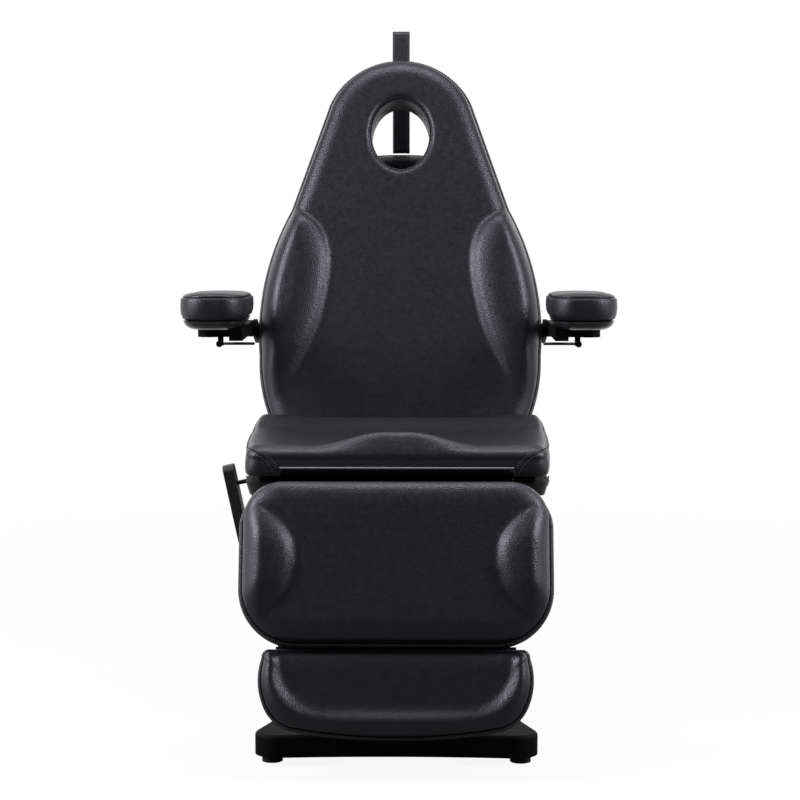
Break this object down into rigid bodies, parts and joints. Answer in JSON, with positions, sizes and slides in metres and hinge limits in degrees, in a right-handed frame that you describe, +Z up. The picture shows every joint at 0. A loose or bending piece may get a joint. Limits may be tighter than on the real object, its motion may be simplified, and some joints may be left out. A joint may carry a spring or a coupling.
{
  "type": "electric treatment chair",
  "caption": "Padded electric treatment chair with face hole, side bolsters, armrests, leg rest, sliding foot panel, handset and lift column on a low base.",
  "frame": {"origin": "on the floor, below the middle of the chair's bounding box", "axes": "+Z up, the sitter faces -Y, +X to the right of someone looking at the chair's front"},
  "size_m": [0.924, 1.1712, 1.49],
  "materials": {
    "leather": "semi-gloss leather-look upholstery",
    "base_paint": "satin black powder coat",
    "frame_paint": "satin black powder coat",
    "steel": "turned and ground",
    "chrome": "polished",
    "housing_plastic": "moulded, fine grain",
    "shell_plastic": "moulded, glossy",
    "key_plastic": "moulded",
    "rubber": "moulded",
    "plywood": "board with black lining cloth",
    "webbing": "stitched strap"
  },
  "bodies": {
    "base": {"base_plate": "base_paint", "base_cover": "base_paint", "levelling_feet": "rubber", "foot_studs": "steel", "column_bolts": "steel", "column_outer": "base_paint", "outer_glides": "housing_plastic", "lift_screw": "steel", "power_inlet": "housing_plastic"},
    "column_middle": {"column_middle": "base_paint", "middle_glides": "housing_plastic", "lift_nut_tube": "steel"},
    "seat": {"column_inner": "base_paint", "lift_head_plate": "base_paint", "lift_top_tube": "steel", "lift_motor": "housing_plastic", "seat_rails": "frame_paint", "seat_crossmembers": "frame_paint", "seat_pan": "housing_plastic", "seat_cushion": "leather", "hinge_plates": "frame_paint", "hinge_shafts": "steel", "actuator_tubes": "housing_plastic", "actuator_motors": "housing_plastic", "actuator_saddles": "frame_paint", "control_box": "housing_plastic", "chrome_hooks": "chrome", "handset_front": "housing_plastic", "handset_back": "housing_plastic", "cable_socket": "housing_plastic", "handset_cable": "rubber"},
    "back": {"back_pivot_tube": "frame_paint", "back_frame_arms": "frame_paint", "back_crossbar": "frame_paint", "back_board": "plywood", "back_cushion": "leather", "arm_brackets": "frame_paint", "arm_pins": "steel", "pillow_strap": "webbing", "head_pillow": "leather"},
    "back_rod": {"back_rod": "steel"},
    "leg_rest": {"leg_pivot_tube": "frame_paint", "leg_frame_arms": "frame_paint", "leg_board": "plywood", "leg_cushion": "leather"},
    "leg_rod": {"leg_rod": "steel"},
    "foot_panel": {"foot_slide_bars": "steel", "foot_board": "plywood", "foot_cushion": "leather"},
    "arm_left": {"arm_beam_left": "frame_paint", "arm_shell_left": "shell_plastic", "arm_pad_left": "leather"},
    "lever_left": {"arm_lever_left": "steel"},
    "arm_right": {"arm_beam_right": "frame_paint", "arm_shell_right": "shell_plastic", "arm_pad_right": "leather"},
    "lever_right": {"arm_lever_right": "steel"},
    "key_1": {"rocker_key_1": "key_plastic"},
    "key_2": {"rocker_key_2": "key_plastic"},
    "key_3": {"rocker_key_3": "key_plastic"}
  },
  "joints": [
    {"name": "seat_lift", "type": "slide", "parent": "base", "child": "seat", "axis": [0, 0, 1], "range_m": [0, 0.3]},
    {"name": "middle_lift", "type": "slide", "parent": "base", "child": "column_middle", "axis": [0, 0, 1], "range_m": [0, 0.15]},
    {"name": "back_recline", "type": "hinge", "parent": "seat", "child": "back", "pos_m": [0, 0.25101, 0.51], "axis": [-1, 0, 0], "range_deg": [0, 74]},
    {"name": "back_rod_pivot", "type": "hinge", "parent": "back", "child": "back_rod", "pos_m": [0.122, 0.29615, 0.4501], "axis": [-1, 0, 0], "range_deg": [-74, 0]},
    {"name": "leg_lift", "type": "hinge", "parent": "seat", "child": "leg_rest", "pos_m": [0, -0.37299, 0.508], "axis": [-1, 0, 0], "range_deg": [0, 72]},
    {"name": "leg_rod_pivot", "type": "hinge", "parent": "leg_rest", "child": "leg_rod", "pos_m": [-0.122, -0.33185, 0.45137], "axis": [-1, 0, 0], "range_deg": [-72, 0]},
    {"name": "foot_slide", "type": "slide", "parent": "leg_rest", "child": "foot_panel", "axis": [0, -0.309, -0.9511], "range_m": [0, 0.15]},
    {"name": "arm_turn_left", "type": "hinge", "parent": "back", "child": "arm_left", "pos_m": [-0.346, 0.28701, 0.806], "axis": [-1, 0, 0], "range_deg": [-70, 90]},
    {"name": "lever_press_left", "type": "hinge", "parent": "arm_left", "child": "lever_left", "pos_m": [-0.384, 0.02701, 0.791], "axis": [0, 1, 0], "range_deg": [0, 12], "stiffness_Nm_per_rad": 1, "springref_deg": -5.73},
    {"name": "arm_turn_right", "type": "hinge", "parent": "back", "child": "arm_right", "pos_m": [0.346, 0.28701, 0.806], "axis": [-1, 0, 0], "range_deg": [-70, 90]},
    {"name": "lever_press_right", "type": "hinge", "parent": "arm_right", "child": "lever_right", "pos_m": [0.384, 0.02701, 0.791], "axis": [0, -1, 0], "range_deg": [0, 12], "stiffness_Nm_per_rad": 1, "springref_deg": -5.73},
    {"name": "key_rock_1", "type": "hinge", "parent": "seat", "child": "key_1", "pos_m": [-0.34969, -0.21299, 0.52446], "axis": [0, 1, 0], "range_deg": [-6, 6], "stiffness_Nm_per_rad": 0.05},
    {"name": "key_rock_2", "type": "hinge", "parent": "seat", "child": "key_2", "pos_m": [-0.34179, -0.21299, 0.48729], "axis": [0, 1, 0], "range_deg": [-6, 6], "stiffness_Nm_per_rad": 0.05},
    {"name": "key_rock_3", "type": "hinge", "parent": "seat", "child": "key_3", "pos_m": [-0.33389, -0.21299, 0.45012], "axis": [0, 1, 0], "range_deg": [-6, 6], "stiffness_Nm_per_rad": 0.05}
  ],
  "couplings": [
    {"joint": "middle_lift", "follows": "seat_lift", "ratio": 0.5},
    {"joint": "back_rod_pivot", "follows": "back_recline", "ratio": -1},
    {"joint": "leg_rod_pivot", "follows": "leg_lift", "ratio": -1}
  ]
}
